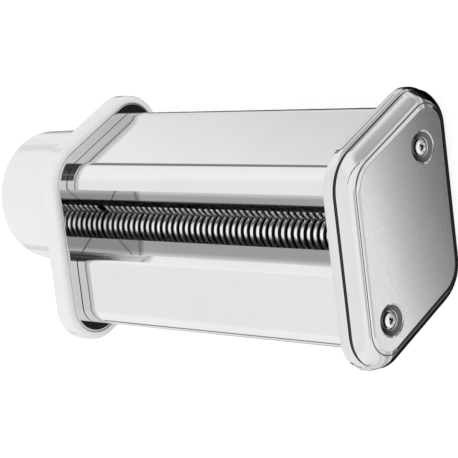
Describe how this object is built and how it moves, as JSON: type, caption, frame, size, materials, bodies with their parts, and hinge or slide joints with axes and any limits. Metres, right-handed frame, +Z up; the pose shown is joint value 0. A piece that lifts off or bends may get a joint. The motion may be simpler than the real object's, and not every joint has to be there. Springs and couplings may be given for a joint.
{
  "type": "pasta cutter attachment",
  "caption": "Mixer-driven pasta cutter: ringed cutting rollers between leaning rounded side plates, polished sheet covers, round drive drum, domed end cap.",
  "frame": {"origin": "middle of the base that the two rims stand on, halfway along the overall length", "axes": "+X from the drive drum to the end cap along the rollers, +Y to the rear cover, +Z up through the feed slot"},
  "size_m": [0.1944, 0.0916, 0.0568],
  "materials": {
    "white_plastic": "glossy moulded white plastic",
    "polished_steel": "mirror polished stainless sheet",
    "chrome": "bright chrome plate",
    "roller_steel": "turned and polished steel",
    "zinc_steel": "bright zinc plated",
    "bronze": "sintered bronze, satin",
    "grey_nylon": "satin moulded nylon",
    "black_rubber": "matte black seal"
  },
  "bodies": {
    "frame": {"drive_housing": "white_plastic", "left_side_plate": "polished_steel", "right_side_plate": "chrome", "cap_gasket": "black_rubber", "end_cap": "chrome", "rear_cover": "polished_steel", "front_cover": "polished_steel", "rear_left_bushing": "bronze", "rear_right_bushing": "bronze", "front_left_bushing": "bronze", "front_right_bushing": "bronze", "rear_comb": "grey_nylon", "front_comb": "grey_nylon", "rear_tie_rod": "zinc_steel", "rear_cap_screw": "zinc_steel", "rear_housing_screw": "zinc_steel", "front_tie_rod": "zinc_steel", "front_cap_screw": "zinc_steel", "front_housing_screw": "zinc_steel", "hub_bearing": "bronze", "bayonet_collar": "zinc_steel"},
    "rear_roller": {"rear_cutter_roller": "roller_steel", "rear_roller_gear": "grey_nylon", "rear_gear_clip": "zinc_steel", "drive_shaft": "zinc_steel", "drive_pin": "zinc_steel", "shaft_clip": "zinc_steel"},
    "front_roller": {"front_cutter_roller": "roller_steel", "front_roller_gear": "grey_nylon", "front_gear_clip": "zinc_steel"}
  },
  "joints": [
    {"name": "rear_roller_spin", "type": "hinge", "parent": "frame", "child": "rear_roller", "pos_m": [0.0143, 0.0084, 0.029], "axis": [1, 0, 0], "continuous": true},
    {"name": "front_roller_spin", "type": "hinge", "parent": "frame", "child": "front_roller", "pos_m": [0.0143, -0.0031, 0.029], "axis": [1, 0, 0], "continuous": true}
  ],
  "couplings": [
    {"joint": "front_roller_spin", "follows": "rear_roller_spin", "ratio": -1}
  ]
}
